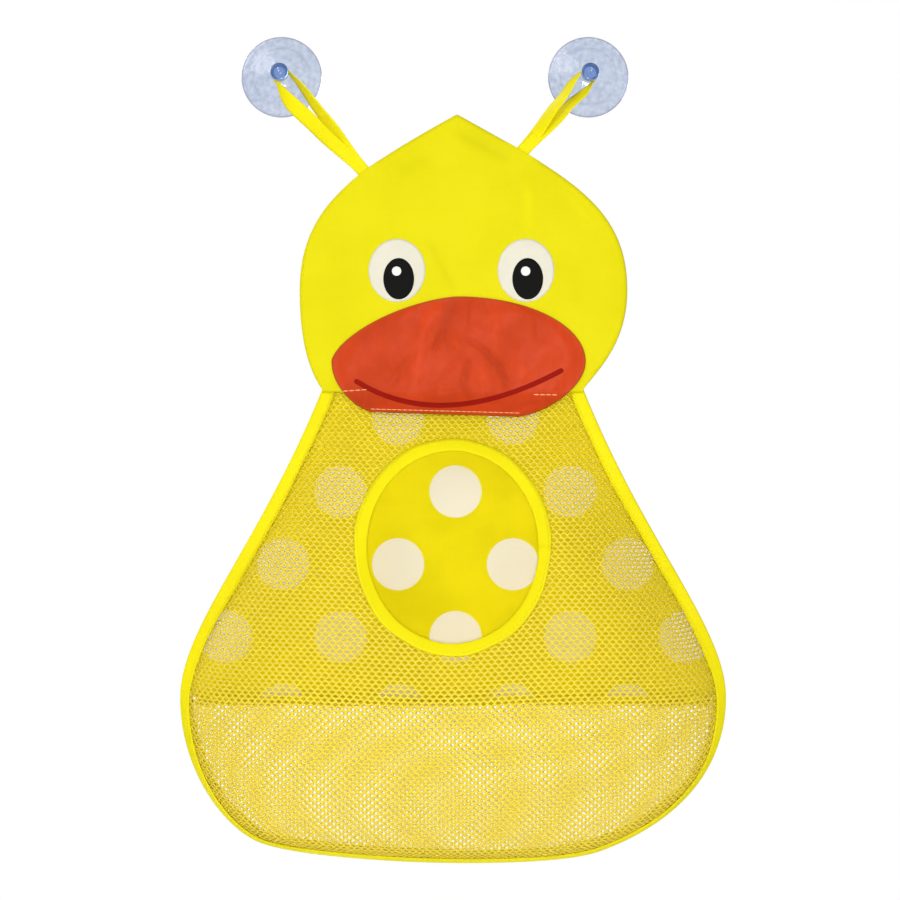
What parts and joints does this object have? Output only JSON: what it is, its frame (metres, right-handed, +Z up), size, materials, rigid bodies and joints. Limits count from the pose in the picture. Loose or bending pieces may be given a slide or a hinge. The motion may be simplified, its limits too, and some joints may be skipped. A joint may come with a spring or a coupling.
{
  "type": "bath toy organizer",
  "caption": "Duck-shaped bath toy bag with a net front, an oval mouth and a cloth head, hanging by tape loops from clear suction cups.",
  "frame": {"origin": "on the wall plane, midway between the two suction cups", "axes": "+Z up, +Y into the wall, the front of the bag faces -Y, +X to the right as seen from the front"},
  "size_m": [0.3372, 0.0771, 0.5113],
  "materials": {
    "clear_vinyl": "clear soft vinyl with a faint blue tint, glossy",
    "yellow_tape": "folded woven polyester tape, bright yellow",
    "dotted_cloth": "yellow polyester cloth printed with cream dots",
    "yellow_cloth": "smooth yellow polyester cloth with a low sheen",
    "orange_cloth": "orange-red coated polyester, semi-gloss and softly creased",
    "red_transfer": "dark red printed line",
    "cream_transfer": "cream print, flat",
    "black_transfer": "black print, flat",
    "cream_net": "knitted polyester net, pale cream-yellow, open diamond mesh"
  },
  "bodies": {
    "hanging_loops": {"left_loop_eye": "yellow_tape", "right_loop_eye": "yellow_tape"},
    "left_cup": {"left_suction_cup": "clear_vinyl"},
    "right_cup": {"right_suction_cup": "clear_vinyl"},
    "bag": {"left_strap": "yellow_tape", "right_strap": "yellow_tape", "back_panel": "dotted_cloth", "head_front_panel": "yellow_cloth", "beak_panel": "orange_cloth", "mouth_line": "red_transfer", "left_eye_white": "cream_transfer", "right_eye_white": "cream_transfer", "left_pupil": "black_transfer", "right_pupil": "black_transfer", "front_net": "cream_net", "mouth_binding": "yellow_tape", "rear_drain_net": "cream_net", "rear_seam_tape": "yellow_tape", "outer_binding": "yellow_tape"}
  },
  "joints": [
    {"name": "left_cup_swivel", "type": "hinge", "parent": "hanging_loops", "child": "left_cup", "pos_m": [-0.095, -0.0125, 0], "axis": [0, -1, 0], "continuous": true},
    {"name": "right_cup_swivel", "type": "hinge", "parent": "hanging_loops", "child": "right_cup", "pos_m": [0.095, -0.0125, 0], "axis": [0, -1, 0], "continuous": true},
    {"name": "bag_swing", "type": "hinge", "parent": "hanging_loops", "child": "bag", "pos_m": [0, -0.0153, -0.0174], "axis": [-1, 0, 0], "range_deg": [0, 60]}
  ]
}
